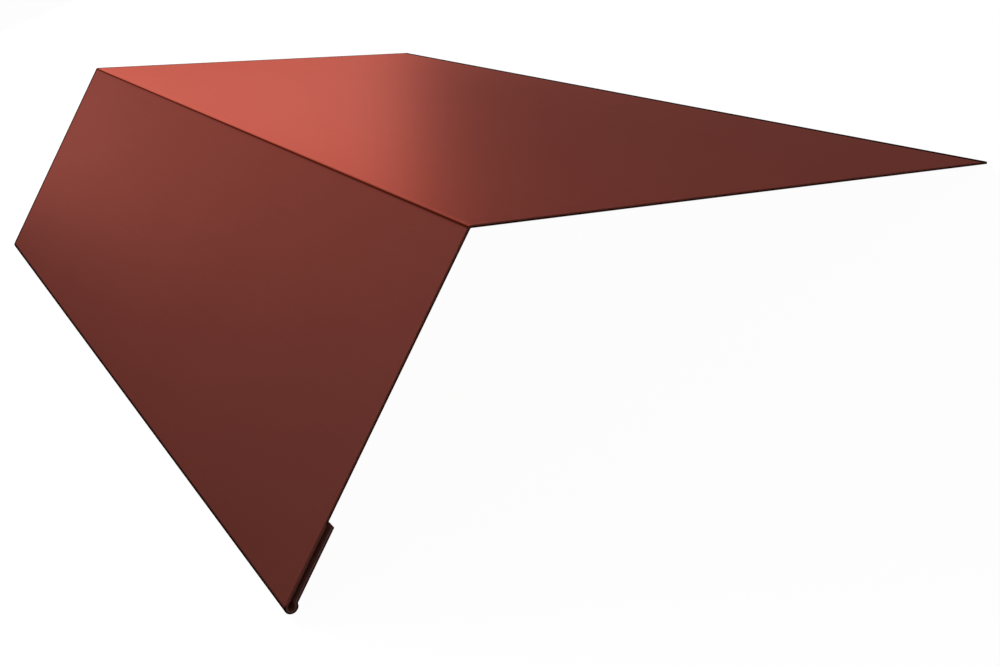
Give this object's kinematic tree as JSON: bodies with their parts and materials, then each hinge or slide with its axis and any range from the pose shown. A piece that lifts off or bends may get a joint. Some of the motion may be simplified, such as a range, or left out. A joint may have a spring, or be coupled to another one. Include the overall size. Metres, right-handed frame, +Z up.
{
  "type": "eaves closure",
  "caption": "Folded painted sheet-steel eaves closure: wide deck flange, obtuse fold, narrower face and an inward open hem with a round drip bead.",
  "frame": {"origin": "on the floor, under the middle of the part's box", "axes": "+Y along the fold, +X from the hem towards the deck flange's back edge, +Z up from the floor to the fold"},
  "size_m": [0.1656, 0.282, 0.0445],
  "materials": {
    "painted_sheet": "satin oxide-red polyester paint on galvanised steel sheet, dull red-brown backing coat inside"
  },
  "bodies": {
    "root": {"eaves_closure": "painted_sheet"}
  },
  "joints": []
}
